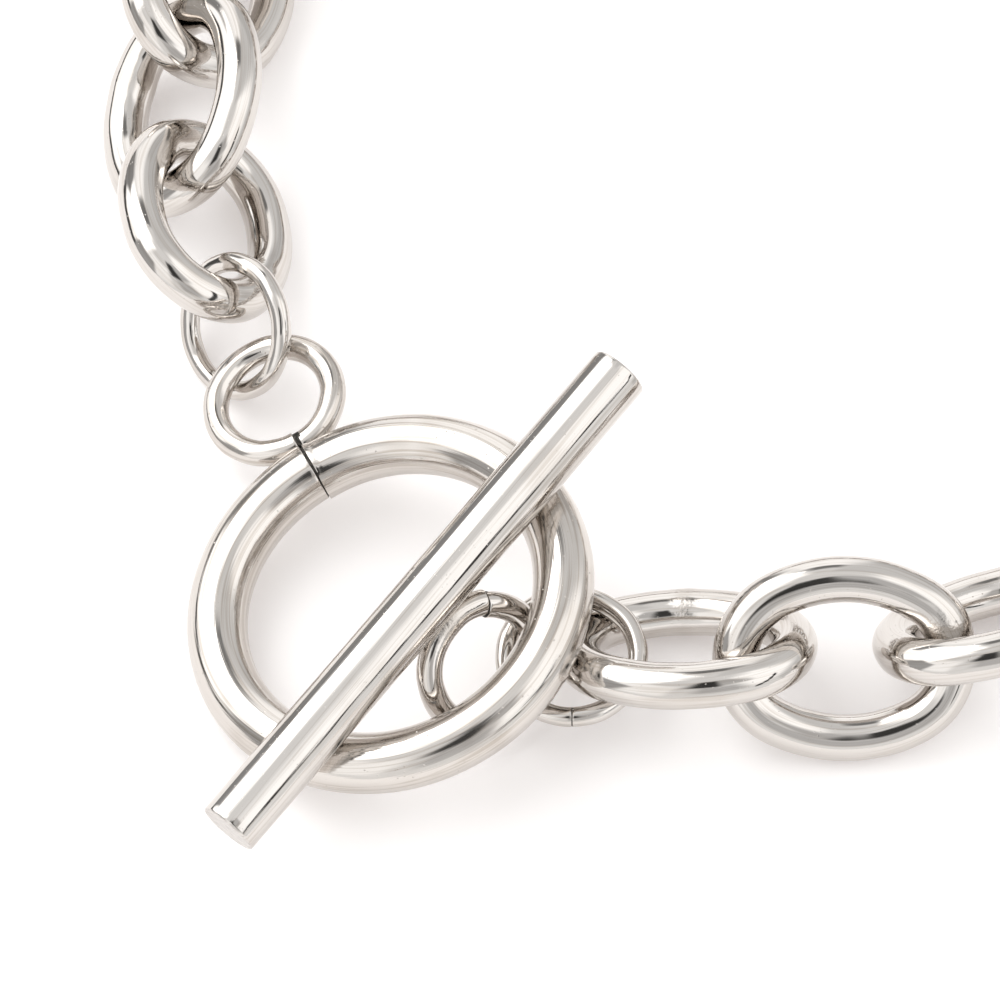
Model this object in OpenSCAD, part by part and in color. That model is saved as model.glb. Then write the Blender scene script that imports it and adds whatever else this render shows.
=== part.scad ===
// Link bracelet lying closed on a flat surface.
// Oval links run in a loop and are held by a ring and bar clasp.

/* [Chain] */
// Number of oval links, an odd number
link_count = 21; // [19:2:25]
// Outer length of an oval link
link_length = 13; // [12.6:0.1:13.4]
// Outer width of an oval link
link_width = 10.2; // [9.8:0.1:10.6]
// Thickness of the link wire
link_wire = 2.3; // [2.1:0.1:2.4]
// How far each side of a link bows out beyond its rounded ends
link_bow = 0.45; // [0.35:0.05:0.55]
// Angle at which the links lean to either side
link_lean = 38; // [34:1:42]
// Free play along the chain at each joint
joint_play = 0.4; // [0.35:0.05:0.5]

/* [Clasp ring] */
// Outer diameter of the clasp ring
ring_outer = 20.6; // [20:0.2:22]
// Thickness of the clasp ring's wire
ring_wire = 3; // [2.8:0.1:3.2]
// Angle between the clasp ring and the surface
ring_tilt = 15.2; // [14.8:0.1:15.6]
// Width of the cut between the ends of a bent wire
wire_cut = 0.16; // [0.12:0.02:0.2]

/* [Clasp bar] */
// Length of the clasp bar
bar_length = 29.8; // [28:0.2:32]
// Diameter of the clasp bar
bar_d = 3; // [2.8:0.1:3.2]
// Distance of the bar from the centre of the clasp ring
bar_offset = 3.24; // [3.1:0.02:3.4]
// Angle at which the bar's eye hangs below the bar
bar_eye_drop = 51.3; // [50.3:0.1:52.3]

/* [Small rings] */
// Outer diameter of the two soldered eyes
eye_outer = 7.4; // [7.2:0.1:7.6]
// Thickness of the eye wire
eye_wire = 1.3; // [1.2:0.05:1.35]
// Outer diameter of the two jump rings
jump_outer = 7.5; // [7.3:0.1:7.7]
// Thickness of the jump ring wire
jump_wire = 1; // [0.9:0.02:1.04]

/* [Hidden] */
steel = [0.80, 0.79, 0.77];
wire_fn = 20;
path_fn = 72;
bar_fn = 48;
bead_fn = 32;

// Space left between pieces that lie on each other
rest_gap = 0.12;
// Depth by which a soldered eye sinks into the wire it sits on
solder_sink = 0.25;
solder_bead_d = 1.5;

// Oval link, worked out at the middle of the wire
link_l = link_length - link_wire;
link_w = link_width - link_wire;
link_end_r = link_w / 2 - link_bow;
end_x = link_l / 2 - link_end_r;
side_r = (end_x * end_x + pow(link_w / 2, 2) - pow(link_end_r, 2)) / (link_w - 2 * link_end_r);
side_y = side_r - link_w / 2;
end_angle = atan2(side_y, end_x);

// Tight bends draw the wire thinner, and reach this many degrees into the sides
bend_thinning = 0.03;
bend_lap = 3;

// Distance between the wires of two joined links that lean opposite ways
wire_space = link_wire + rest_gap;
lean_c = (1 - cos(2 * link_lean)) * link_end_r;
joint_space = lean_c < wire_space
    ? (pow(wire_space, 2) + pow(lean_c, 2)) / (2 * lean_c) : wire_space;
pitch = link_l - joint_space - joint_play;
link_z = link_w / 2 * sin(link_lean) + link_wire / 2;

// Rings, at the middle of their wires
ring_r = (ring_outer - ring_wire) / 2;
eye_r = (eye_outer - eye_wire) / 2;
jump_r = (jump_outer - jump_wire) / 2;

// How the clasp lies: directions in degrees from +X seen from above, shifts in mm
ring_rise_dir = 9.3;
ring_lift = 0.19;
ring_eye_dir = 116.5;
bar_dir = 47.7;
bar_slide = 0.4;
bar_eye_slide = 0.28;
ring_jump_tilt = 56;
ring_jump_rise_dir = 35;
ring_jump_shift = [-2.01, 4.25, 0.24];
ring_jump_seam = 128;
bar_jump_tilt = 5.6;
bar_jump_rise_dir = 83.6;
bar_jump_shift = [4.29, 0.99, -0.84];
bar_jump_seam = -90;
bar_eye_seam = 138;

// Slack taken up where the arc of the other links begins and ends
arc_slack = 0.25;

// How the links beside the clasp lie, outwards from their jump ring. Each row holds the
// direction and the share of the pitch to the link's middle, its height above the other
// links, and the heading, rise and lean of the link
left_rows = [
    [105.3, 0.78, 0.41, 86.7, -14.8, 35.4],
    [100.4, 0.959, 0.15, 88.6, 3.4, -40.3],
    [81.7, 1.018, 0.05, 76.8, -4.7, 36.9]
];
right_rows = [
    [1.8, 0.705, -0.19, 173.5, -9.5, 31.3],
    [-6.3, 0.987, 0.3, 180.7, 3.1, -43.2],
    [15.8, 1.008, 0.18, 202.6, 3.5, 39.2]
];

function unit(v) = v / norm(v);
function heading(a) = [cos(a), sin(a), 0];

// Normal of a plane that rises by a tilt towards a direction
function plane_normal(tilt, rise_dir) = [-sin(tilt) * cos(rise_dir), -sin(tilt) * sin(rise_dir), cos(tilt)];
// Two axes in a plane: the first points as near as it can along a direction
function plane_x(n, dir) = unit(heading(dir) - n * (heading(dir) * n));
function plane_y(n, dir) = cross(n, plane_x(n, dir));

// Clasp ring and its eye share one plane
ring_n = plane_normal(ring_tilt, ring_rise_dir);
ring_c = [0, 0, ring_r * sin(ring_tilt) + ring_wire / 2 + ring_lift];
ring_eye_reach = ring_r + ring_wire / 2 + eye_r + eye_wire / 2 - solder_sink;
ring_eye_c = ring_c + plane_x(ring_n, ring_eye_dir) * ring_eye_reach;

// Bar lies on the clasp ring, its eye hangs from the middle
bar_axis = plane_x(ring_n, bar_dir);
bar_side = -plane_y(ring_n, bar_dir);
bar_foot = ring_c + bar_side * bar_offset + ring_n * (ring_wire / 2 + bar_d / 2 + rest_gap);
bar_c = bar_foot + bar_axis * bar_slide;
bar_eye_out = unit(cross(bar_axis, [0, 0, 1]));
bar_eye_up = cross(bar_eye_out, bar_axis);
bar_eye_dir = bar_eye_out * cos(bar_eye_drop) - bar_eye_up * sin(bar_eye_drop);
bar_eye_c = bar_foot + bar_axis * bar_eye_slide
    + bar_eye_dir * (bar_d / 2 + eye_r + eye_wire / 2 - solder_sink);

// Jump rings and the two ends of the chain
ring_jump_n = plane_normal(ring_jump_tilt, ring_jump_rise_dir);
ring_jump_c = ring_eye_c + ring_jump_shift;
bar_jump_n = plane_normal(bar_jump_tilt, bar_jump_rise_dir);
bar_jump_c = bar_eye_c + bar_jump_shift;

// A link is held as its middle, its long axis and its side axis
function link_frame(c, dir, rise, lean) = let (
    x = heading(dir) * cos(rise) + [0, 0, sin(rise)],
    flat = heading(dir + 90)
) [c, x, flat * cos(lean) + cross(x, flat) * sin(lean)];

// Links beside the clasp, laid from a jump ring outwards
function lay(from, rows, i = 0) = i == len(rows) ? [] : let (
    r = rows[i],
    c = [from[0], from[1], link_z + r[2]] + heading(r[0]) * r[1] * pitch
) concat([link_frame(c, r[3], r[4], r[5])], lay(c, rows, i + 1));
left_links = lay(ring_jump_c, left_rows);
right_links = lay(bar_jump_c, right_rows);

// All other links lie on one arc between these, each turned by the same angle
function flat_end(link, side) = let (p = link[0] + link[1] * side * (pitch / 2 - arc_slack))
    [p[0], p[1], link_z];
arc_links = link_count - len(left_rows) - len(right_rows);
arc_from = flat_end(left_links[len(left_rows) - 1], 1);
arc_to = flat_end(right_links[len(right_rows) - 1], -1);
arc_span = norm(arc_to - arc_from) / pitch;
function solve_turn(lo, hi, n = 30) = n == 0 ? (lo + hi) / 2
    : sin(arc_links * (lo + hi) / 4) / sin((lo + hi) / 4) > arc_span
        ? solve_turn((lo + hi) / 2, hi, n - 1) : solve_turn(lo, (lo + hi) / 2, n - 1);
turn = solve_turn(1, 360 / arc_links);
arc_dir = atan2(arc_to[1] - arc_from[1], arc_to[0] - arc_from[0]) + (arc_links - 1) * turn / 2;
function lay_arc(from, k = 0) = k == arc_links ? [] : let (
    dir = arc_dir - k * turn,
    lean = (len(left_rows) + k) % 2 == 0 ? link_lean : -link_lean
) concat(
    [link_frame(from + heading(dir) * pitch / 2, dir, 0, lean)],
    lay_arc(from + heading(dir) * pitch, k + 1)
);
links = concat(left_links, lay_arc(arc_from), [for (k = [len(right_rows) - 1:-1:0]) right_links[k]]);

// How far a link or ring reaches from its centre in a direction
function link_reach(k, u) = let (a = abs(links[k][1] * u), b = abs(links[k][2] * u), h = norm([a, b]))
    (b * end_x <= a * side_y ? end_x * a + link_end_r * h : side_r * h - side_y * b) + link_wire / 2;
function ring_reach(n, r, wire, u) = r * sqrt(1 - pow(n * u, 2)) + wire / 2;
function bar_reach(u) = abs(bar_axis * u) * bar_length / 2 + sqrt(1 - pow(bar_axis * u, 2)) * bar_d / 2;
function far_side(u) = max(concat(
    [for (k = [0:link_count - 1]) links[k][0] * u + link_reach(k, u)],
    [ring_c * u + ring_reach(ring_n, ring_r, ring_wire, u), bar_c * u + bar_reach(u)]
));
middle_x = (far_side([1, 0, 0]) - far_side([-1, 0, 0])) / 2;
middle_y = (far_side([0, 1, 0]) - far_side([0, -1, 0])) / 2;

// Puts children at a centre with given local X and Y axes
module at(c, x, y) {
    z = cross(x, y);
    multmatrix([
        [x[0], y[0], z[0], c[0] - middle_x],
        [x[1], y[1], z[1], c[1] - middle_y],
        [x[2], y[2], z[2], c[2]],
        [0, 0, 0, 1]
    ]) children();
}

module bent_wire(r, wire, from, sweep) {
    rotate_extrude(angle = sweep, start = from, $fn = path_fn)
        translate([r, 0]) circle(d = wire, $fn = wire_fn);
}

// Ring of wire whose cut ends meet at one direction
module cut_ring(r, wire, cut_dir) {
    cut = 2 * asin(wire_cut / 2 / r);
    bent_wire(r, wire, cut_dir + cut / 2, 360 - cut);
}

module oval_link() {
    end_turn = end_angle + bend_lap;
    for (s = [0, 180]) rotate(s) {
        translate([end_x, 0]) bent_wire(link_end_r, link_wire - bend_thinning, -end_turn, 2 * end_turn);
        translate([0, -side_y]) bent_wire(side_r, link_wire, end_angle, 180 - 2 * end_angle);
    }
}

module clasp_ring() color(steel) {
    at(ring_c, plane_x(ring_n, ring_eye_dir), plane_y(ring_n, ring_eye_dir)) {
        cut_ring(ring_r, ring_wire, 0);
        translate([ring_eye_reach, 0]) cut_ring(eye_r, eye_wire, 180);
        translate([ring_r + ring_wire / 2, 0]) sphere(d = solder_bead_d, $fn = bead_fn);
    }
}

module clasp_bar() color(steel) {
    at(bar_c, bar_axis, bar_side)
        rotate([0, 90, 0]) cylinder(d = bar_d, h = bar_length, center = true, $fn = bar_fn);
    at(bar_eye_c, bar_eye_dir, bar_axis) {
        cut_ring(eye_r, eye_wire, bar_eye_seam);
        translate([-eye_r - eye_wire / 2, 0]) sphere(d = solder_bead_d, $fn = bead_fn);
    }
}

module ring_jump_ring() color(steel)
    at(ring_jump_c, plane_x(ring_jump_n, 0), plane_y(ring_jump_n, 0))
        cut_ring(jump_r, jump_wire, ring_jump_seam);

module bar_jump_ring() color(steel)
    at(bar_jump_c, plane_x(bar_jump_n, 0), plane_y(bar_jump_n, 0))
        cut_ring(jump_r, jump_wire, bar_jump_seam);

module chain_link(k) color(steel) at(links[k][0], links[k][1], links[k][2]) oval_link();

clasp_ring();
clasp_bar();
ring_jump_ring();
bar_jump_ring();
for (k = [0:link_count - 1]) {
    chain_link(k);
}
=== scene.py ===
"""A link bracelet of bent steel wire, closed with a ring and bar clasp.

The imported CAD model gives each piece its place. Every node is measured here, and a finer
piece with the real surface of its metal is built where the node is.
"""

from __future__ import annotations

import logging
import math
from collections.abc import Mapping, Sequence
from dataclasses import dataclass, field
from enum import Enum, IntEnum

import bmesh
import bpy
import numpy as np
from mathutils import Matrix, Vector

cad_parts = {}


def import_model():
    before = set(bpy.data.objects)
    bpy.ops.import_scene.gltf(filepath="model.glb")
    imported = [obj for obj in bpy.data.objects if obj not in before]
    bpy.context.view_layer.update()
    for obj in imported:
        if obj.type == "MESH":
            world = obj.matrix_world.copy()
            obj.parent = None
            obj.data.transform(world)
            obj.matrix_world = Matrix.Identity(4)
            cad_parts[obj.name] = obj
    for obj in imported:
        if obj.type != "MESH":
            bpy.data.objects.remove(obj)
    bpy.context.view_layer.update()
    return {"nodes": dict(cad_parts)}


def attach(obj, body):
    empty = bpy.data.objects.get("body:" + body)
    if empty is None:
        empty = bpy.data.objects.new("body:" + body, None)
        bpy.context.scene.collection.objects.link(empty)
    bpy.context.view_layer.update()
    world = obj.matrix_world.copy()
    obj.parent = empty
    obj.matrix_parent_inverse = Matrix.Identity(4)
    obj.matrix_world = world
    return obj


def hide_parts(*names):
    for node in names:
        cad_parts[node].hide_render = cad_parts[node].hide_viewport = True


LOG = logging.getLogger("bracelet")
MM = 0.001
TURN = 2 * math.pi
SHARP_ANGLE = math.radians(50)
UP = Vector((0.0, 0.0, 1.0))
Colour = tuple[float, float, float]


class Slot(Enum):
    """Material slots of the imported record."""

    RING = "ring_steel"
    BAR = "bar_steel"
    JUMP = "jump_steel"
    LINK = "link_steel"


class Skin(IntEnum):
    """Which of a piece's materials a face takes."""

    WIRE = 0
    CUT = 1
    # Faces painted nearly black as the shade deep in a seam
    PAINTED_SEAM_SHADE = 2


# Shader nodes


class Value:
    """One output socket that takes part in ordinary arithmetic."""

    def __init__(self, graph: Graph, socket: bpy.types.NodeSocket) -> None:
        """Keeps the socket and the graph that it belongs to."""
        self.graph = graph
        self.socket = socket

    def _math(self, operation: str, *values: Value | float) -> Value:
        """Adds a Math node.

        Args:
            operation: the node's operation.
            values: what goes into its sockets, in order.

        Returns:
            The node's result.
        """
        node = self.graph.node("ShaderNodeMath", {"operation": operation}, dict(enumerate(values)))
        return Value(self.graph, node.outputs[0])

    def __add__(self, other: Value | float) -> Value:
        """Sum."""
        return self._math("ADD", self, other)

    def __radd__(self, other: float) -> Value:
        """Sum with a number first."""
        return self._math("ADD", other, self)

    def __sub__(self, other: Value | float) -> Value:
        """Difference."""
        return self._math("SUBTRACT", self, other)

    def __rsub__(self, other: float) -> Value:
        """Difference from a number."""
        return self._math("SUBTRACT", other, self)

    def __mul__(self, other: Value | float) -> Value:
        """Product."""
        return self._math("MULTIPLY", self, other)

    def angle(self, other: Value) -> Value:
        """Angle of the point (other, self), in radians."""
        return self._math("ARCTAN2", self, other)

    def arcsine(self) -> Value:
        """Angle whose sine this is, in radians."""
        return self._math("ARCSINE", self)

    def half_turns(self) -> Value:
        """The same angle within half a turn of zero."""
        return self._math("WRAP", self, math.pi, -math.pi)

    def ramp(self, low: float, high: float) -> Value:
        """A soft step.

        Args:
            low: the value that gives 0.
            high: the value that gives 1.

        Returns:
            The stepped value, from 0 to 1.
        """
        settings = {"interpolation_type": "SMOOTHSTEP"}
        # Sockets 1 and 2 are the range that comes in, 3 and 4 what it turns into
        values = {0: self, 1: low, 2: high, 3: 0.0, 4: 1.0}
        if low > high:
            values = {0: self, 1: high, 2: low, 3: 1.0, 4: 0.0}
        return Value(self.graph, self.graph.node("ShaderNodeMapRange", settings, values).outputs[0])

    def band(self, middle: float, half: float, soft: float) -> Value:
        """A soft band round a value.

        Args:
            middle: the value in the middle of the band.
            half: how far the full band reaches to either side.
            soft: how wide its soft edge is.

        Returns:
            1 in the band and 0 away from it.
        """
        return self._math("ABSOLUTE", self - middle).ramp(half + soft, half)


class Graph:
    """A node tree, with one method that adds any node."""

    def __init__(self, tree: bpy.types.NodeTree) -> None:
        """Empties the tree."""
        self.tree = tree
        tree.nodes.clear()

    def node(
        self,
        kind: str,
        settings: Mapping[str, object] | None = None,
        values: Mapping[str | int, object] | None = None,
    ) -> bpy.types.Node:
        """Adds one node.

        Args:
            kind: the node's type.
            settings: its own settings, which are set first.
            values: what its input sockets take, by name or number: a Value, a socket or a constant.

        Returns:
            The node.
        """
        made = self.tree.nodes.new(kind)
        for name, setting in (settings or {}).items():
            setattr(made, name, setting)
        for name, value in (values or {}).items():
            if isinstance(value, Value):
                value = value.socket
            if isinstance(value, bpy.types.NodeSocket):
                self.tree.links.new(value, made.inputs[name])
            else:
                made.inputs[name].default_value = value
        return made

    def value(self, kind: str, output: str | int, settings: Mapping[str, object], values: Mapping) -> Value:
        """Adds a node and takes one of its outputs.

        Args:
            kind: the node's type.
            output: the output's name or number.
            settings: its own settings.
            values: what its input sockets take.

        Returns:
            The output.
        """
        return Value(self, self.node(kind, settings, values).outputs[output])

    def mix(self, factor: Value, low: object, high: object) -> Value:
        """Mixes two colours.

        Args:
            factor: 0 for the first colour, 1 for the second.
            low: the first colour, as a socket or three numbers.
            high: the second colour, as a socket or three numbers.

        Returns:
            The mixed colour.
        """
        sides = [(*c, 1.0) if isinstance(c, tuple) else c for c in (low, high)]
        return self.value("ShaderNodeMix", 2, {"data_type": "RGBA"}, {0: factor, 6: sides[0], 7: sides[1]})

    def vector(self, operation: str, *values: object) -> Value:
        """Adds a Vector Math node and returns its vector."""
        return self.value("ShaderNodeVectorMath", 0, {"operation": operation}, dict(enumerate(values)))

    def noise(self, place: Value, scale: float, detail: float = 2.0, rough: float = 0.5) -> Value:
        """Adds a Noise Texture.

        Args:
            place: where it is read.
            scale: how many of its largest lumps fit in a unit of place.
            detail: how many finer layers it has.
            rough: how strong each finer layer is.

        Returns:
            The noise, about 0.5.
        """
        values = {"Vector": place, "Scale": scale, "Detail": detail, "Roughness": rough}
        return self.value("ShaderNodeTexNoise", 0, {"noise_dimensions": "3D"}, values)


# Finishes

NOISE_MEAN = 0.5

# How many lumps of each texture fit in a metre
SMUDGE_SCALE = 260.0
CRUST_SCALE = 5200.0
PATCH_SCALE = 700.0
SCORE_SCALE = 2600.0
GRAIN_SCALE = 7000.0
PAPER_SCALE = 90.0

# Values of each texture between which it comes into sight
SMUDGE_SEEN = (0.45, 0.75)
LINE_SEEN = (0.42, 0.66)
PATCH_SEEN = (0.46, 0.6)
PIT_SEEN = (0.16, 0.04)
SCORE_SEEN = (0.4, 0.65)

# Roughness that pits and scars add, and the share of the finish's spread that lines add
PIT_ROUGH = 0.18
SCAR_ROUGH = 0.22
LINE_ROUGH = 0.6

# How far each of them takes the steel from its tint to its shade
SMUDGE_SHADE = 0.4
LINE_SHADE = 0.6
PIT_SHADE = 0.5
SCAR_SHADE = 0.8

# How dense the lines are along the wire, as a share of how dense they are across it
LINE_STRETCH = 0.02

# Distance between pits, in widths of a pit
PIT_SPACING = 5

# How much finer than their scale a cutter's scores are along each axis
SCORE_STRETCH = (1.0, 1.0, 7.0)


class Finish:
    """A surface that has a name and one shader."""

    name: str

    def material(self) -> bpy.types.Material:
        """Makes the material once.

        Returns:
            The material, which later calls find by its name.
        """
        known = bpy.data.materials.get(self.name)
        if known:
            return known
        made = bpy.data.materials.new(self.name)
        made.use_nodes = True
        graph = Graph(made.node_tree)
        place = graph.value("ShaderNodeTexCoord", "Object", {}, {})
        shader = self._shader(graph, place)
        graph.node("ShaderNodeOutputMaterial", {}, {"Surface": shader.outputs[0]})
        return made

    def _shader(self, graph: Graph, place: Value) -> bpy.types.Node:
        """Builds the shader, which each finish does in its own way.

        Args:
            graph: the material's graph.
            place: the point on the piece.

        Returns:
            The shader.
        """
        raise NotImplementedError

    @staticmethod
    def _bump(graph: Graph, height: Value) -> bpy.types.NodeSocket:
        """Turns a height in metres into a surface direction."""
        bump = graph.node("ShaderNodeBump", {}, {"Strength": 1.0, "Distance": 1.0, "Height": height})
        return bump.outputs[0]


@dataclass(frozen=True)
class SteelFinish(Finish):
    """Steel wire as its last tool left it. Heights and widths are in mm."""

    name: str
    tint: Colour
    shade: Colour
    roughness: float
    rough_spread: float
    wave_height: float
    wave_width: float
    line_height: float
    line_width: float
    pit_depth: float
    pit_width: float
    scar_height: float = 0.03

    def _shader(self, graph: Graph, place: Value) -> bpy.types.Node:
        """Builds steel with waves, drawing lines, pits and scars.

        Args:
            graph: the material's graph.
            place: the point on the piece.

        Returns:
            The shader.
        """
        section = graph.value("ShaderNodeAttribute", "Vector", {"attribute_name": "section"}, {})
        scar = graph.value("ShaderNodeAttribute", "Fac", {"attribute_name": "scar"}, {})

        waves = graph.noise(place, 1 / (self.wave_width * MM), detail=1.0)
        lines = self._lines(graph, place, section)
        pits = self._pits(graph, place)
        smudge = graph.noise(place, SMUDGE_SCALE, detail=2.0, rough=0.6)
        crust = graph.noise(place, CRUST_SCALE, detail=1.0, rough=0.65)

        height = (
            waves * (self.wave_height * MM)
            + lines * (self.line_height * MM)
            - pits * (self.pit_depth * MM)
            + scar * crust * (self.scar_height * MM)
        )
        rough = (
            self.roughness
            + (smudge - NOISE_MEAN) * self.rough_spread
            + (lines - NOISE_MEAN) * (self.rough_spread * LINE_ROUGH)
            + pits * PIT_ROUGH
            + scar * SCAR_ROUGH
        )
        worn = (
            smudge.ramp(*SMUDGE_SEEN) * SMUDGE_SHADE
            + lines.ramp(*LINE_SEEN) * LINE_SHADE
            + pits * PIT_SHADE
            + scar * SCAR_SHADE
        )
        return graph.node(
            "ShaderNodeBsdfPrincipled",
            {},
            {
                "Metallic": 1.0,
                "Base Color": graph.mix(worn.ramp(0.0, 1.0), self.tint, self.shade),
                "Roughness": rough,
                "Normal": self._bump(graph, height),
            },
        )

    def _lines(self, graph: Graph, place: Value, section: Value) -> Value:
        """Fine drawing lines that run along the wire.

        Args:
            graph: the material's graph.
            place: the point on the piece.
            section: the point in the wire's own cross section.

        Returns:
            Their height, about 0.5.
        """
        fine = 1 / (self.line_width * MM)
        across = graph.vector("SCALE", section)
        across.socket.node.inputs["Scale"].default_value = fine
        along = graph.vector("SCALE", place)
        along.socket.node.inputs["Scale"].default_value = fine * LINE_STRETCH
        return graph.noise(graph.vector("ADD", across, along), scale=1.0, detail=2.0, rough=0.65)

    def _pits(self, graph: Graph, place: Value) -> Value:
        """Small pits, in patches.

        Args:
            graph: the material's graph.
            place: the point on the piece.

        Returns:
            1 at the bottom of a pit and 0 on the clear surface.
        """
        spacing = self.pit_width * PIT_SPACING * MM
        spots = graph.value(
            "ShaderNodeTexVoronoi", "Distance", {"feature": "F1"}, {"Vector": place, "Scale": 1 / spacing}
        )
        patches = graph.noise(place, PATCH_SCALE, detail=0.0).ramp(*PATCH_SEEN)
        return spots.ramp(*PIT_SEEN) * patches


@dataclass(frozen=True)
class CutFinish(Finish):
    """The face that a cutter leaves across a wire; nearly black, it also serves as painted shade deep in
    seams. The height of its grain is in mm.
    """

    name: str
    tint: Colour
    dark: Colour
    roughness: float
    grain_height: float = 0.006
    rough_spread: float = 0.2

    def _shader(self, graph: Graph, place: Value) -> bpy.types.Node:
        """Builds dull steel with the cutter's scores.

        Args:
            graph: the material's graph.
            place: the point on the piece.

        Returns:
            The shader.
        """
        scores = graph.noise(graph.vector("MULTIPLY", place, SCORE_STRETCH), SCORE_SCALE, detail=3.0)
        grain = graph.noise(place, GRAIN_SCALE, detail=3.0, rough=0.7)
        height = (scores + grain) * (self.grain_height * MM)
        return graph.node(
            "ShaderNodeBsdfPrincipled",
            {},
            {
                "Metallic": 1.0,
                "Base Color": graph.mix(scores.ramp(*SCORE_SEEN), self.tint, self.dark),
                "Roughness": self.roughness + (grain - NOISE_MEAN) * self.rough_spread,
                "Normal": self._bump(graph, height),
            },
        )


@dataclass(frozen=True)
class PaperFinish(Finish):
    """Plain white paper of a light table, which glows faintly through from below."""

    name: str = "table_paper"
    tint: Colour = (0.83, 0.825, 0.82)
    shade: Colour = (0.81, 0.805, 0.80)
    glow: Colour = (0.265, 0.245, 0.24)
    roughness: float = 0.85
    gloss: float = 0.2

    def material(self) -> bpy.types.Material:
        """Makes the material, whose glow is too faint to be sampled as a lamp."""
        made = super().material()
        made.cycles.emission_sampling = "NONE"
        return made

    def _shader(self, graph: Graph, place: Value) -> bpy.types.Node:
        """Builds matt paper that glows.

        Args:
            graph: the material's graph.
            place: the point on the piece.

        Returns:
            The shader.
        """
        return graph.node(
            "ShaderNodeBsdfPrincipled",
            {},
            {
                "Base Color": graph.mix(
                    graph.noise(place, PAPER_SCALE, detail=4.0), self.tint, self.shade
                ),
                "Roughness": self.roughness,
                "Specular IOR Level": self.gloss,
                "Emission Color": (*self.glow, 1.0),
                "Emission Strength": 1.0,
            },
        )


POLISHED = SteelFinish(
    name="steel_polished",
    tint=(0.64, 0.61, 0.58),
    shade=(0.53, 0.49, 0.45),
    roughness=0.07,
    rough_spread=0.04,
    wave_height=0.004,
    wave_width=1.7,
    line_height=0.003,
    line_width=0.14,
    pit_depth=0.006,
    pit_width=0.05,
)
TUMBLED = SteelFinish(
    name="steel_tumbled",
    tint=(0.635, 0.60, 0.565),
    shade=(0.45, 0.405, 0.36),
    roughness=0.12,
    rough_spread=0.1,
    wave_height=0.003,
    wave_width=2.2,
    line_height=0.011,
    line_width=0.17,
    pit_depth=0.014,
    pit_width=0.07,
)
DRAWN = SteelFinish(
    name="steel_drawn",
    tint=(0.64, 0.61, 0.58),
    shade=(0.52, 0.48, 0.44),
    roughness=0.06,
    rough_spread=0.05,
    wave_height=0.002,
    wave_width=2.5,
    line_height=0.005,
    line_width=0.13,
    pit_depth=0.005,
    pit_width=0.04,
)
CUT = CutFinish("steel_cut", tint=(0.66, 0.63, 0.60), dark=(0.42, 0.39, 0.37), roughness=0.34)
# Nearly black steel: painted shade for the unlit inside of a seam, where the wire's ends meet
PAINTED_SEAM_SHADE = CutFinish("painted_seam_shade", tint=(0.10, 0.09, 0.08), dark=(0.03, 0.028, 0.025), roughness=0.55)


# Meshes


def mesh_points(mesh: bpy.types.Mesh) -> np.ndarray:
    """The mesh's points, one in each row."""
    points = np.empty(len(mesh.vertices) * 3)
    mesh.vertices.foreach_get("co", points)
    return points.reshape(-1, 3)


def to_mesh(bm: bmesh.types.BMesh, name: str) -> bpy.types.Mesh:
    """Turns an edit mesh into a mesh of this name and frees it."""
    mesh = bpy.data.meshes.new(name)
    bm.to_mesh(mesh)
    bm.free()
    return mesh


def wire_start(bm: bmesh.types.BMesh, sides: int, radius: float, place: Matrix) -> list:
    """Adds the circle that a wire is spun from.

    Args:
        bm: an empty edit mesh.
        sides: how many points the circle has.
        radius: its radius.
        place: where it lies.

    Returns:
        Its points and edges.
    """
    bmesh.ops.create_circle(bm, cap_ends=False, segments=sides, radius=radius, matrix=place)
    return bm.verts[:] + bm.edges[:]


# Measuring the frame

SMALLEST_AREA = 1e-18


@dataclass(frozen=True)
class Lie:
    """How a flat wire shape lies: its centre and its own three axes, in metres."""

    centre: Vector
    x: Vector
    y: Vector
    z: Vector

    @classmethod
    def flat(cls, centre: Sequence[float], normal: Sequence[float], along: Sequence[float]) -> Lie:
        """Makes a lie from a plane and a direction.

        Args:
            centre: the shape's centre.
            normal: square to its plane, in either sense; the upper one is taken.
            along: the direction that its own X axis follows as near as it can.

        Returns:
            The lie.
        """
        z = Vector(normal).normalized()
        z = z if z.z >= 0 else -z
        x = Vector(along)
        x = (x - z * x.dot(z)).normalized()
        return cls(Vector(centre), x, z.cross(x), z)

    def matrix(self) -> Matrix:
        """The matrix from the shape's own frame to the part's frame."""
        return Matrix.Translation(self.centre) @ Matrix((self.x, self.y, self.z)).transposed().to_4x4()


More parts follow.
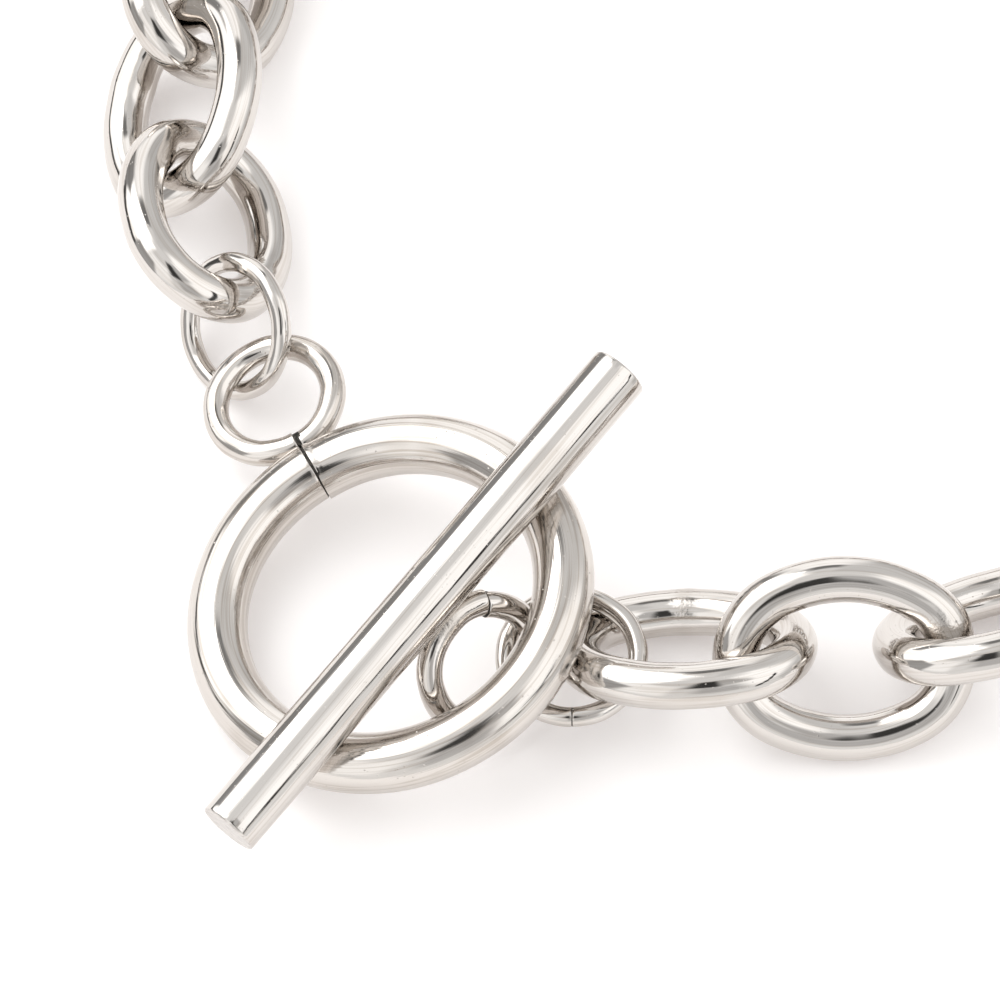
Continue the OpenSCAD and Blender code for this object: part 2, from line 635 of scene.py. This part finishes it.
class Gauge:
    """Measures the mesh of one CAD node, in metres."""

    def __init__(self, node: bpy.types.Object) -> None:
        """Reads the node's triangles.

        Args:
            node: the CAD node.
        """
        mesh = node.data
        mesh.calc_loop_triangles()
        corners = np.empty(len(mesh.loop_triangles) * 3, dtype=np.int64)
        mesh.loop_triangles.foreach_get("vertices", corners)
        self.points = mesh_points(mesh)
        self.corners = self.points[corners.reshape(-1, 3)]
        cross = np.cross(self.corners[:, 1] - self.corners[:, 0], self.corners[:, 2] - self.corners[:, 0])
        length = np.linalg.norm(cross, axis=1)
        self.areas = length / 2
        self.normals = cross / np.maximum(length, SMALLEST_AREA)[:, None]

    def axes(self) -> np.ndarray:
        """Principal axes of the surface.

        Returns:
            Three unit rows, the one along which the surface spreads most first.
        """
        share = self.areas / self.areas.sum()
        middle = self.corners.mean(axis=1)
        centre = share @ middle
        # A triangle's spread follows from its corners and nine times its middle.
        shifted, middle = self.corners - centre, middle - centre
        spread = np.einsum("t,tki,tkj->ij", share, shifted, shifted)
        spread += 9 * np.einsum("t,ti,tj->ij", share, middle, middle)
        return np.linalg.eigh(spread)[1].T[::-1]

    def span(self, axis: np.ndarray, chosen: np.ndarray | None = None) -> tuple[float, float]:
        """How far the points reach along an axis.

        Args:
            axis: a unit direction.
            chosen: a mask of the points that count; all of them if it is None.

        Returns:
            The lowest and the highest reach.
        """
        reach = (self.points if chosen is None else self.points[chosen]) @ axis
        return float(reach.min()), float(reach.max())

    def half(self, axis: np.ndarray) -> float:
        """Half of how far the points reach along an axis."""
        low, high = self.span(axis)
        return (high - low) / 2

    def centre(self, axes: np.ndarray) -> np.ndarray:
        """The middle of the box along three axes.

        Args:
            axes: three unit rows.

        Returns:
            The middle.
        """
        return sum(axis * sum(self.span(axis)) / 2 for axis in axes)


# Bent wire

FEWEST_STEPS = 6
MERGE_SHARE = 0.01

# Waves along a whole wire, and for the ripple also around it
WANDER_WAVES = (2, 3, 4)
RIPPLE_WAVES = ((7, 1), (11, -1), (9, 2), (14, 0), (5, -2))

# How much of a weld's scar is left on the far side, and how sharply it fades round the wire
SCAR_BEHIND = 0.25
SCAR_FADE = 3

# How tight a weld's swelling is beside its scar, along the wire
SWELL_TIGHT = 0.8

# A cut face is inset in steps this many times as wide as its broken edge
INSETS = 3
INSET_STEP = 2.2


@dataclass(frozen=True)
class Bend:
    """One arc of a wire's middle line, in the shape's own plane. Angles are in radians."""

    centre: tuple[float, float]
    radius: float
    start: float
    sweep: float

    def length(self) -> float:
        """Length of the arc."""
        return self.radius * self.sweep


@dataclass(frozen=True)
class EndShift:
    """How one end of a cut wire sits off its true place. Lengths are in mm.

    The slant is how much further the wire's outer side is cut back than its middle.
    """

    out: float = 0.0
    up: float = 0.0
    slant: float = 0.0
    reach: float = 1.6


@dataclass(frozen=True)
class Uneven:
    """How far a wire strays from its true shape. Lengths are in mm."""

    seed: int
    wander: float = 0.02
    ripple: float = 0.004
    start: EndShift = EndShift()
    end: EndShift = EndShift()


@dataclass(frozen=True)
class Weld:
    """The place where a wire was closed. Lengths are in mm.

    The share is how far along the wire it is, and the side is the way that it faces, in degrees
    from outwards.
    """

    share: float
    side: float
    swell: float = 0.035
    width: float = 0.55
    scar: float = 1.0


@dataclass
class Wire:
    """A round wire bent along arcs, built in the shape's own flat frame, in metres."""

    bends: Sequence[Bend]
    radius: float
    sides: int = 32
    step: float = 0.22 * MM
    closed: bool = False
    burr: float = 0.09 * MM
    uneven: Uneven = Uneven(seed=0, wander=0.0, ripple=0.0)
    weld: Weld | None = None
    skin: Skin = Skin.WIRE
    plug_share: float = 0.93
    plug_lap: float = 0.2 * MM

    def mesh(self) -> bpy.types.Mesh:
        """Builds the wire.

        Returns:
            Its mesh, with the point attributes section and scar.
        """
        bm = bmesh.new()
        first = self.bends[0]
        out = Vector((math.cos(first.start), math.sin(first.start), 0.0))
        turned = Matrix((out, UP, out.cross(UP))).transposed().to_4x4()
        start = Vector((*first.centre, 0.0)) + out * first.radius
        ring = wire_start(bm, self.sides, self.radius, Matrix.Translation(start) @ turned)
        for bend in self.bends:
            ring = bmesh.ops.spin(
                bm,
                geom=ring,
                cent=(*bend.centre, 0.0),
                axis=UP,
                dvec=(0.0, 0.0, 0.0),
                angle=bend.sweep,
                steps=max(FEWEST_STEPS, round(bend.length() / self.step)),
                use_merge=False,
                use_duplicate=False,
            )["geom_last"]
        if self.closed:
            bmesh.ops.remove_doubles(bm, verts=bm.verts[:], dist=self.step * MERGE_SHARE)
        else:
            # The cut ends that face each other across the seam are painted nearly black, as shade
            close_ends(bm, self.burr, Skin.PAINTED_SEAM_SHADE)
        if self.skin is not Skin.WIRE:
            for face in bm.faces:
                face.material_index = self.skin
        bmesh.ops.recalc_face_normals(bm, faces=bm.faces[:])
        mesh = to_mesh(bm, "wire")
        self._stray(mesh)
        return mesh

    def seam_shade_plug(self) -> bpy.types.Mesh:
        """Builds a dark core deep in the wire's seam, where its two ends touch, that paints the seam's shade.

        Returns:
            The mesh, a little thinner than the wire and lapping into both ends.
        """
        run = self.bends[0]
        seam = TURN - run.sweep
        lap = self.plug_lap / run.radius
        core = Bend(run.centre, run.radius, run.start - seam - lap, seam + 2 * lap)
        radius = self.radius * self.plug_share
        return Wire([core], radius, sides=self.sides, burr=self.burr, skin=Skin.PAINTED_SEAM_SHADE).mesh()

    def _locate(self, points: np.ndarray) -> tuple[np.ndarray, np.ndarray, np.ndarray]:
        """Tells each point from the wire's middle line.

        Args:
            points: the points, one in each row.

        Returns:
            Length along the wire, the point in the cross section (outwards and up), and the
            unit direction outwards.
        """
        slack = 0.02  # radians
        elsewhere = 1.0  # metres, further off than any point
        nearer = 1e-9  # metres by which a later bend has to be nearer
        smallest = 1e-12  # metres, so that nothing is divided by zero
        best = np.full(len(points), np.inf)
        along = np.zeros(len(points))
        section = np.zeros((len(points), 2))
        outward = np.zeros((len(points), 3))
        passed = 0.0
        for bend in self.bends:
            rel = points[:, :2] - np.array(bend.centre)
            reach = np.hypot(rel[:, 0], rel[:, 1])
            angle = np.mod(np.arctan2(rel[:, 1], rel[:, 0]) - bend.start + slack, TURN) - slack
            off = np.abs(reach - bend.radius) + (angle > bend.sweep + slack) * elsewhere
            near = off < best - nearer
            best[near] = off[near]
            along[near] = passed + angle[near] * bend.radius
            section[near, 0] = reach[near] - bend.radius
            section[near, 1] = points[near, 2]
            outward[near, :2] = rel[near] / np.maximum(reach[near], smallest)[:, None]
            passed += bend.length()
        return along, section, outward

    def _stray(self, mesh: bpy.types.Mesh) -> None:
        """Moves the mesh as hand work does, and writes the attributes section and scar.

        Args:
            mesh: the wire's true shape, which is changed.
        """
        points = mesh_points(mesh)
        along, section, outward = self._locate(points)
        total = sum(bend.length() for bend in self.bends)
        turn = TURN * along / total
        rng = np.random.default_rng(self.uneven.seed)
        waves = [sum(np.cos(n * turn + rng.uniform(0, TURN)) / n for n in WANDER_WAVES) for _ in range(2)]
        around = np.arctan2(section[:, 1], section[:, 0])
        ripple = sum(np.cos(n * turn + m * around + rng.uniform(0, TURN)) for n, m in RIPPLE_WAVES)
        shift = np.stack(waves, axis=1) * (self.uneven.wander * MM)
        forward = np.zeros(len(points))
        if not self.closed:
            for distance, sense, end in ((along, 1, self.uneven.start), (total - along, -1, self.uneven.end)):
                fade = np.exp(-((distance / (end.reach * MM)) ** 2)) * MM
                shift += fade[:, None] * np.array((end.out, end.up))
                forward += sense * end.slant * fade * section[:, 0] / self.radius
        swell = ripple * (self.uneven.ripple * MM)
        scar = np.zeros(len(points))
        if self.weld:
            gap = np.abs(along / total - self.weld.share)
            gap = np.minimum(gap, 1 - gap) * total / (self.weld.width * MM)
            facing = 0.5 + 0.5 * np.cos(around - math.radians(self.weld.side))
            around_wire = SCAR_BEHIND + (1 - SCAR_BEHIND) * facing**SCAR_FADE
            scar = self.weld.scar * np.exp(-(gap**2)) * around_wire
            swell = swell + self.weld.swell * MM * np.exp(-((gap * SWELL_TIGHT) ** 2))
        radial = section / self.radius
        shift += radial * swell[:, None]
        points = points + outward * shift[:, :1] + np.array(UP) * shift[:, 1:]
        points += np.cross(np.array(UP), outward) * forward[:, None]
        mesh.vertices.foreach_set("co", points.ravel())
        write_section(mesh, section, scar)


def close_ends(bm: bmesh.types.BMesh, burr: float, skin: Skin) -> None:
    """Caps the open ends of a wire with cut faces and breaks their edges.

    Args:
        bm: the wire.
        burr: how wide the broken edge is.
        skin: what the cut faces take.
    """
    open_edges = {edge for edge in bm.edges if edge.is_boundary}
    while open_edges:
        loop = [open_edges.pop()]
        for edge in loop:
            linked = {e for vert in edge.verts for e in vert.link_edges} & open_edges
            loop.extend(linked)
            open_edges -= linked
        cap = bmesh.ops.contextual_create(bm, geom=loop)["faces"]
        for face in cap:
            face.material_index = skin
        edges = [edge for face in cap for edge in face.edges]
        bmesh.ops.bevel(
            bm,
            geom=edges,
            offset=burr,
            offset_type="OFFSET",
            segments=3,
            profile=0.5,
            affect="EDGES",
            material=-1,
        )
        # The wire's own faces have four corners, a cut face has many more
        cap = [face for face in bm.faces if len(face.verts) > 4]
        for _ in range(INSETS):
            bmesh.ops.inset_region(bm, faces=cap, thickness=burr * INSET_STEP, use_even_offset=True)
        bmesh.ops.poke(bm, faces=cap)


def write_section(mesh: bpy.types.Mesh, section: np.ndarray, scar: np.ndarray) -> None:
    """Writes the point attributes that the steel finishes read.

    Args:
        mesh: the mesh.
        section: each point's place in the wire's cross section.
        scar: how much each point is weld scar, from 0 to 1.
    """
    place = np.zeros((len(section), 3), dtype=np.float32)
    place[:, :2] = section
    mesh.attributes.new("section", "FLOAT_VECTOR", "POINT").data.foreach_set("vector", place.ravel())
    mesh.attributes.new("scar", "FLOAT", "POINT").data.foreach_set("value", scar.astype(np.float32))


def ring_bend(radius: float, seam: float, gap: float, centre: tuple[float, float] = (0.0, 0.0)) -> Bend:
    """A ring's middle line, open at its seam.

    Args:
        radius: radius of the middle line.
        seam: direction of the seam in radians.
        gap: width of the seam.
        centre: the ring's centre.

    Returns:
        The arc.
    """
    half = math.asin(gap / 2 / radius)
    return Bend(centre, radius, seam + half, 2 * (math.pi - half))


def make_piece(
    name: str,
    node: str,
    lie: Lie,
    meshes: Sequence[bpy.types.Mesh],
    finish: SteelFinish,
) -> None:
    """Joins meshes to a piece, puts it in its place and hangs it on the frame.

    Args:
        name: the piece's name.
        node: the CAD node that it stands for.
        lie: how the shape lies.
        meshes: its parts, in the shape's own frame.
        finish: the finish of its wire; its cut faces have their own, and its seams take a painted shade.
    """
    bm = bmesh.new()
    for part in meshes:
        bm.from_mesh(part)
        bpy.data.meshes.remove(part)
    mesh = to_mesh(bm, name)
    mesh.transform(lie.matrix())
    # The third material is the painted seam shade
    for skin in (finish, CUT, PAINTED_SEAM_SHADE):
        mesh.materials.append(skin.material())
    mesh.polygons.foreach_set("use_smooth", [True] * len(mesh.polygons))
    mesh.set_sharp_from_angle(angle=SHARP_ANGLE)
    piece = bpy.data.objects.new(name, mesh)
    bpy.context.scene.collection.objects.link(piece)
    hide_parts(node)
    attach(piece, "root")
    LOG.info("%s: %d faces, stands for %s", name, len(mesh.polygons), node)


# Pieces of the bracelet


@dataclass
class Chain:
    """The row of oval links. Lengths are in mm and angles in degrees.

    The two welds that the photo shows are listed. The others are drawn at random.
    """

    nodes: Mapping[str, bpy.types.Object]
    end_radius: float = 3.5
    wander: float = 0.018
    ripple: float = 0.003
    finish: SteelFinish = POLISHED
    weld_seed: int = 40
    weld_shares: tuple[float, float] = (0.3, 0.8)
    weld_sides: tuple[float, float] = (-140.0, -40.0)
    weld_scar: float = 0.5
    weld_seen: Mapping[int, Weld] = field(
        default_factory=lambda: {
            20: Weld(share=0.7, side=150.0, swell=0.06, width=0.6),
            21: Weld(share=0.9, side=110.0, swell=0.03, width=0.5, scar=0.7),
        }
    )

    def build(self) -> None:
        """Builds every link."""
        names = sorted(name for name in self.nodes if name.startswith("link_"))
        gauges = [Gauge(self.nodes[name]) for name in names]
        centres = [Vector(gauge.centre(gauge.axes())) for gauge in gauges]
        for i, (name, gauge) in enumerate(zip(names, gauges)):
            ahead = centres[min(i + 1, len(names) - 1)] - centres[max(i - 1, 0)]
            self._link(name, i + 1, gauge, centres[i], ahead)

    def _link(self, node: str, number: int, gauge: Gauge, centre: Vector, ahead: Vector) -> None:
        """Builds one link.

        Args:
            node: its CAD node.
            number: its number along the chain.
            gauge: the node's gauge.
            centre: the link's centre.
            ahead: the direction in which the chain runs.
        """
        long_axis, side_axis, normal = gauge.axes()
        long_axis = long_axis if Vector(long_axis).dot(ahead) > 0 else -long_axis
        lie = Lie.flat(centre, normal, long_axis)
        wire = gauge.half(normal)
        half_length = gauge.half(long_axis) - wire
        half_width = gauge.half(side_axis) - wire
        end = self.end_radius * MM
        end_x = half_length - end
        side = (end_x**2 + half_width**2 - end**2) / (2 * half_width - 2 * end)
        side_y = side - half_width
        angle = math.atan2(side_y, end_x)
        bends = [
            Bend((end_x, 0.0), end, -angle, 2 * angle),
            Bend((0.0, -side_y), side, angle, math.pi - 2 * angle),
            Bend((-end_x, 0.0), end, math.pi - angle, 2 * angle),
            Bend((0.0, side_y), side, math.pi + angle, math.pi - 2 * angle),
        ]
        rng = np.random.default_rng(self.weld_seed + number)
        weld = self.weld_seen.get(number) or Weld(
            share=float(rng.choice(self.weld_shares)),
            side=float(rng.uniform(*self.weld_sides)),
            scar=self.weld_scar,
        )
        uneven = Uneven(seed=number, wander=self.wander, ripple=self.ripple)
        wire_run = Wire(bends, wire, closed=True, uneven=uneven, weld=weld)
        make_piece(f"oval_link_{number:02d}", node, lie, [wire_run.mesh()], self.finish)


@dataclass
class JumpRing:
    """A small ring of thin wire that joins the chain to an eye of the clasp.

    Lengths are in mm and the direction of the seam in degrees.
    """

    node: str
    name: str
    seam: float
    nodes: Mapping[str, bpy.types.Object]
    gap: float = 0.03
    finish: SteelFinish = POLISHED
    uneven: Uneven = Uneven(seed=3)

    def build(self) -> None:
        """Builds the ring where its node is."""
        gauge = Gauge(self.nodes[self.node])
        axes = gauge.axes()
        lie = Lie.flat(gauge.centre(axes), axes[2], (1.0, 0.0, 0.0))
        wire = gauge.half(axes[2])
        radius = gauge.half(np.array(lie.y)) - wire
        bend = ring_bend(radius, math.radians(self.seam), self.gap * MM)
        ring = Wire([bend], wire, sides=28, step=0.16 * MM, burr=0.03 * MM, uneven=self.uneven)
        # Its seam is filled with a dark core as painted shade
        make_piece(self.name, self.node, lie, [ring.mesh(), ring.seam_shade_plug()], self.finish)


@dataclass
class ClaspRing:
    """The clasp's large ring with the eye that is soldered to it. Lengths are in mm."""

    nodes: Mapping[str, bpy.types.Object]
    node: str = "clasp_ring"
    eye_wire: float = 1.3
    solder_sink: float = 0.25
    gap: float = 0.12
    eye_gap: float = 0.2
    finish: SteelFinish = TUMBLED

    def build(self) -> Vector:
        """Builds the ring and its eye in their common plane.

        Returns:
            The ring's centre.
        """
        gauge = Gauge(self.nodes[self.node])
        long_axis, side_axis, normal = gauge.axes()
        outer = gauge.half(side_axis)
        wire = gauge.half(normal)
        reach = gauge.points @ long_axis
        low_end, high_end = reach < reach.min() + 2 * wire, reach > reach.max() - 2 * wire
        widths = [np.ptp(gauge.points[end] @ side_axis) for end in (low_end, high_end)]
        if widths[0] < widths[1]:
            long_axis, reach = -long_axis, -reach
        middle = gauge.centre(np.array((long_axis, side_axis, normal)))
        centre = Vector(middle + long_axis * (reach.min() + outer - middle @ long_axis))
        lie = Lie.flat(centre, normal, long_axis)
        eye_outer = (np.ptp(reach) - 2 * outer + self.solder_sink * MM) / 2
        eye_wire = self.eye_wire / 2 * MM
        eye_x = outer + eye_outer - self.solder_sink * MM
        ring = Wire(
            [ring_bend(outer - wire, 0.0, self.gap * MM)],
            wire,
            sides=48,
            step=0.25 * MM,
            burr=0.05 * MM,
            uneven=Uneven(
                seed=11,
                wander=0.01,
                ripple=0.002,
                start=EndShift(out=0.02, up=0.02, slant=0.02),
                end=EndShift(out=-0.05, up=-0.05, slant=0.09),
            ),
        )
        eye = Wire(
            [ring_bend(eye_outer - eye_wire, math.pi, self.eye_gap * MM, (eye_x, 0.0))],
            eye_wire,
            sides=32,
            step=0.16 * MM,
            burr=0.05 * MM,
            uneven=Uneven(
                seed=12,
                wander=0.012,
                ripple=0.004,
                start=EndShift(out=0.03, up=-0.05),
                end=EndShift(out=-0.03, up=0.06),
            ),
        )
        # Both seams are filled with dark cores as painted shade
        parts = [ring.mesh(), ring.seam_shade_plug(), eye.mesh(), eye.seam_shade_plug()]
        make_piece("toggle_ring", self.node, lie, parts, self.finish)
        return centre


@dataclass
class ClaspBar:
    """The clasp's bar with the eye that hangs from it.

    Lengths are in mm and the direction of the eye's seam in degrees. A triangle belongs to a bar
    end if the cosine between its normal and the bar is over end_facing. A point belongs to the
    eye if it is eye_clear widths of the eye's wire off the bar.
    """

    nodes: Mapping[str, bpy.types.Object]
    node: str = "clasp_bar"
    eye_wire: float = 1.3
    solder_sink: float = 0.25
    eye_seam: float = 138.0
    gap: float = 0.07
    burr: float = 0.14
    sides: int = 64
    steps: int = 60
    end_facing: float = 0.99
    rim_depth: float = 0.01
    eye_clear: float = 1.1
    finish: SteelFinish = DRAWN

    def build(self) -> None:
        """Builds the bar and its eye in their common plane."""
        gauge = Gauge(self.nodes[self.node])
        rough_axis = gauge.axes()[0]
        ends = np.abs(gauge.normals @ rough_axis) > self.end_facing
        facing = gauge.normals[ends] * np.sign(gauge.normals[ends] @ rough_axis)[:, None]
        axis = (facing * gauge.areas[ends][:, None]).sum(axis=0)
        axis /= np.linalg.norm(axis) * np.sign(axis[0])
        reach = gauge.points @ axis
        depth = self.rim_depth * MM
        rims = [gauge.points[np.abs(reach - limit) < depth] for limit in (reach.min(), reach.max())]
        rim_centres = [(rim.min(axis=0) + rim.max(axis=0)) / 2 for rim in rims]
        middle = sum(rim_centres) / 2
        length = np.ptp(reach)
        offset = gauge.points - middle
        offset -= np.outer(offset @ axis, axis)
        distance = np.linalg.norm(offset, axis=1)
        radius = float(np.linalg.norm(rims[0] - rim_centres[0], axis=1).max())
        # The eye's far part, clear of the bar and of the solder bead
        eye_points = distance > radius + self.eye_wire * MM * self.eye_clear
        down = offset[eye_points].mean(axis=0)
        down /= np.linalg.norm(down)
        eye_outer = (distance.max() - radius + self.solder_sink * MM) / 2
        eye_wire = self.eye_wire / 2 * MM
        low, high = gauge.span(axis, eye_points)
        centre = middle + down * (distance.max() - eye_outer) + axis * ((low + high) / 2 - middle @ axis)
        lie = Lie(Vector(centre), Vector(down), Vector(axis), Vector(down).cross(Vector(axis)))
        eye = Wire(
            [ring_bend(eye_outer - eye_wire, math.radians(self.eye_seam), self.gap * MM)],
            eye_wire,
            sides=32,
            step=0.16 * MM,
            burr=0.06 * MM,
            uneven=Uneven(
                seed=21, wander=0.012, ripple=0.004, start=EndShift(out=0.1, up=0.03), end=EndShift(out=-0.05)
            ),
            weld=Weld(share=(180.0 - self.eye_seam) / 360.0, side=90.0, swell=0.03, width=1.0, scar=0.8),
        )
        bar = self._bar(radius, length, (middle - centre) @ down, (middle - centre) @ axis)
        # The eye's seam is filled with a dark core as painted shade
        parts = [bar, eye.mesh(), eye.seam_shade_plug()]
        make_piece("toggle_bar", self.node, lie, parts, self.finish)

    def _bar(self, radius: float, length: float, x: float, y: float) -> bpy.types.Mesh:
        """Builds the straight bar along the Y axis.

        Args:
            radius: its radius.
            length: its length.
            x: where its middle lies along X.
            y: where its middle lies along Y.

        Returns:
            Its mesh.
        """
        bm = bmesh.new()
        turned = Matrix.Rotation(math.radians(-90), 4, "X")
        start = Matrix.Translation((x, y - length / 2, 0.0)) @ turned
        ring = wire_start(bm, self.sides, radius, start)
        step = Vector((0.0, length / self.steps, 0.0))
        bmesh.ops.spin(
            bm,
            geom=ring,
            cent=(0.0, 0.0, 0.0),
            axis=(0.0, 1.0, 0.0),
            dvec=step,
            angle=0.0,
            steps=self.steps,
            use_merge=False,
            use_duplicate=False,
        )
        close_ends(bm, self.burr * MM, Skin.CUT)
        bmesh.ops.recalc_face_normals(bm, faces=bm.faces[:])
        mesh = to_mesh(bm, "bar")
        points = mesh_points(mesh)
        section = np.stack((points[:, 0] - x, points[:, 2]), axis=1)
        write_section(mesh, section, np.zeros(len(points)))
        return mesh


# Studio


@dataclass(frozen=True)
class Panel:
    """A lighter or darker part of the tent. Angles are in degrees, directions from +X."""

    name: str
    towards: float
    height: float
    half_width: float
    half_height: float
    soft: float
    light: float
    slope: float = 0.0

    def over(self, light: Value, compass: Value, upwards: Value) -> Value:
        """Lays the panel over the tent's light.

        Args:
            light: the light so far.
            compass: the direction's angle from +X.
            upwards: its angle over the table.

        Returns:
            The light with this panel.
        """
        sideways = (compass - math.radians(self.towards)).half_turns()
        if self.slope:
            upwards = upwards - sideways * self.slope
        soft, height = math.radians(self.soft), math.radians(self.height)
        mask = sideways.band(0.0, math.radians(self.half_width), soft / math.cos(height))
        mask = mask * upwards.band(height, math.radians(self.half_height), soft)
        return light + mask * (self.light - light)


# Each panel's name, direction, height, half width, half height, soft edge and light
TENT = (
    Panel("left box", 158.0, 48.0, 34.0, 22.0, 12.0, 2.2),
    Panel("left box foot", 150.0, 22.0, 22.0, 10.0, 8.0, 1.9),
    Panel("right box", 342.0, 46.0, 30.0, 20.0, 13.0, 1.6),
    Panel("back window", 92.0, 24.0, 12.0, 18.0, 8.0, 1.5),
    Panel("grey corner", 54.0, 44.0, 13.0, 32.0, 14.0, 0.84),
    Panel("front window", 226.0, 28.0, 16.0, 18.0, 10.0, 1.4),
    Panel("back right edge", 60.0, 8.0, 12.0, 8.0, 8.0, 0.7),
    Panel("right edge", 5.0, 4.0, 24.0, 4.0, 8.0, 0.8),
    Panel("left rim", 160.0, 0.5, 46.0, 4.5, 3.0, 0.1),
    Panel("left edge", 198.0, 12.0, 14.0, 15.0, 7.0, 0.5),
    Panel("back left edge", 124.0, 10.0, 8.0, 12.0, 7.0, 0.35),
    Panel("stand", 282.0, 28.0, 12.0, 8.0, 10.0, 0.66),
    Panel("arm", 298.0, 60.0, 10.0, 9.0, 9.0, 0.66),
    Panel("lens", 270.0, 57.0, 9.0, 11.0, 7.0, 0.06),
    Panel("back clamp", 93.0, 54.0, 8.0, 4.0, 7.0, 0.25),
    Panel("rod", 326.0, 21.0, 20.0, 2.0, 2.0, 0.06, slope=0.41),
)


@dataclass
class Studio:
    """White table, soft tent, key light and camera.

    Lengths are in metres, but the lens and the width of its sensor in mm. Angles are in degrees
    and the key light's power in watts.
    """

    ring_centre: Vector
    aim_x: float = 5.394 * MM
    aim_y: float = 8.366 * MM
    elevation: float = 58.0
    distance: float = 0.35
    lens: float = 252.0
    floor_side: float = 0.18
    top_light: float = 1.0
    low_light: float = 1.08
    low_height: float = -0.1
    backdrop_light: float = 1.0
    key_power: float = 1.5
    key_side: float = 0.5
    key_place: tuple[float, float, float] = (-0.45, 0.35, 0.6)
    sensor: float = 36.0
    panels: Sequence[Panel] = TENT

    def build(self) -> None:
        """Makes the floor, the tent's light, the key light and the camera."""
        self._floor()
        self._tent()
        self._key()
        self._camera()
        bpy.context.scene.view_settings.view_transform = "Standard"

    def _floor(self) -> None:
        """Makes the table's surface, which isn't part of the bracelet."""
        bm = bmesh.new()
        bmesh.ops.create_grid(bm, x_segments=1, y_segments=1, size=self.floor_side / 2)
        mesh = to_mesh(bm, "table")
        mesh.materials.append(PaperFinish().material())
        table = bpy.data.objects.new("table", mesh)
        bpy.context.scene.collection.objects.link(table)

    def _tent(self) -> None:
        """Lights the scene from all round, as a white tent with its gaps does."""
        world = bpy.data.worlds.new("tent")
        world.use_nodes = True
        graph = Graph(world.node_tree)
        way = graph.value("ShaderNodeTexCoord", "Generated", {}, {})
        split = graph.node("ShaderNodeSeparateXYZ", {}, {0: way})
        east, north, height = (Value(graph, split.outputs[i]) for i in range(3))
        # A direction's height is the sine of its angle over the table, and 1 is overhead.
        light = height.ramp(self.low_height, 1.0) * (self.top_light - self.low_light) + self.low_light
        compass, upwards = north.angle(east), height.arcsine()
        for panel in self.panels:
            light = panel.over(light, compass, upwards)
        seen = graph.value("ShaderNodeLightPath", "Is Camera Ray", {}, {})
        light = light + seen * (self.backdrop_light - light)
        back = graph.node("ShaderNodeBackground", {}, {"Color": (1.0, 1.0, 1.0, 1.0), "Strength": light})
        graph.node("ShaderNodeOutputWorld", {}, {"Surface": back.outputs[0]})
        bpy.context.scene.world = world

    def _key(self) -> None:
        """Hangs the large soft light at the upper left."""
        light = bpy.data.lights.new("softbox", "AREA")
        light.shape = "SQUARE"
        light.size = self.key_side
        light.energy = self.key_power
        lamp = bpy.data.objects.new("softbox", light)
        place = Vector(self.key_place)
        lamp.location = place
        lamp.rotation_euler = (-place).to_track_quat("-Z", "Y").to_euler()
        bpy.context.scene.collection.objects.link(lamp)

    def _camera(self) -> None:
        """Puts the camera at the photograph's viewing angle."""
        lens = bpy.data.cameras.new("camera")
        lens.lens = self.lens
        lens.sensor_width = self.sensor
        camera = bpy.data.objects.new("camera", lens)
        tilt = math.radians(self.elevation)
        aim = Vector((self.ring_centre.x + self.aim_x, self.ring_centre.y + self.aim_y, 0.0))
        camera.location = aim + self.distance * Vector((0.0, -math.cos(tilt), math.sin(tilt)))
        camera.rotation_euler = (math.pi / 2 - tilt, 0.0, 0.0)
        bpy.context.scene.collection.objects.link(camera)
        bpy.context.scene.camera = camera


def main() -> None:
    """Loads the frame, builds the bracelet on it and lights it."""
    logging.basicConfig(level=logging.INFO, format="%(message)s")
    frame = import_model()
    nodes = frame["nodes"]
    Chain(nodes).build()
    JumpRing("ring_jump_ring", "ring_side_jump_ring", seam=128.0, nodes=nodes).build()
    JumpRing("bar_jump_ring", "bar_side_jump_ring", seam=-90.0, nodes=nodes).build()
    ring_centre = ClaspRing(nodes).build()
    ClaspBar(nodes).build()
    Studio(ring_centre).build()


if __name__ == "__main__":
    main()
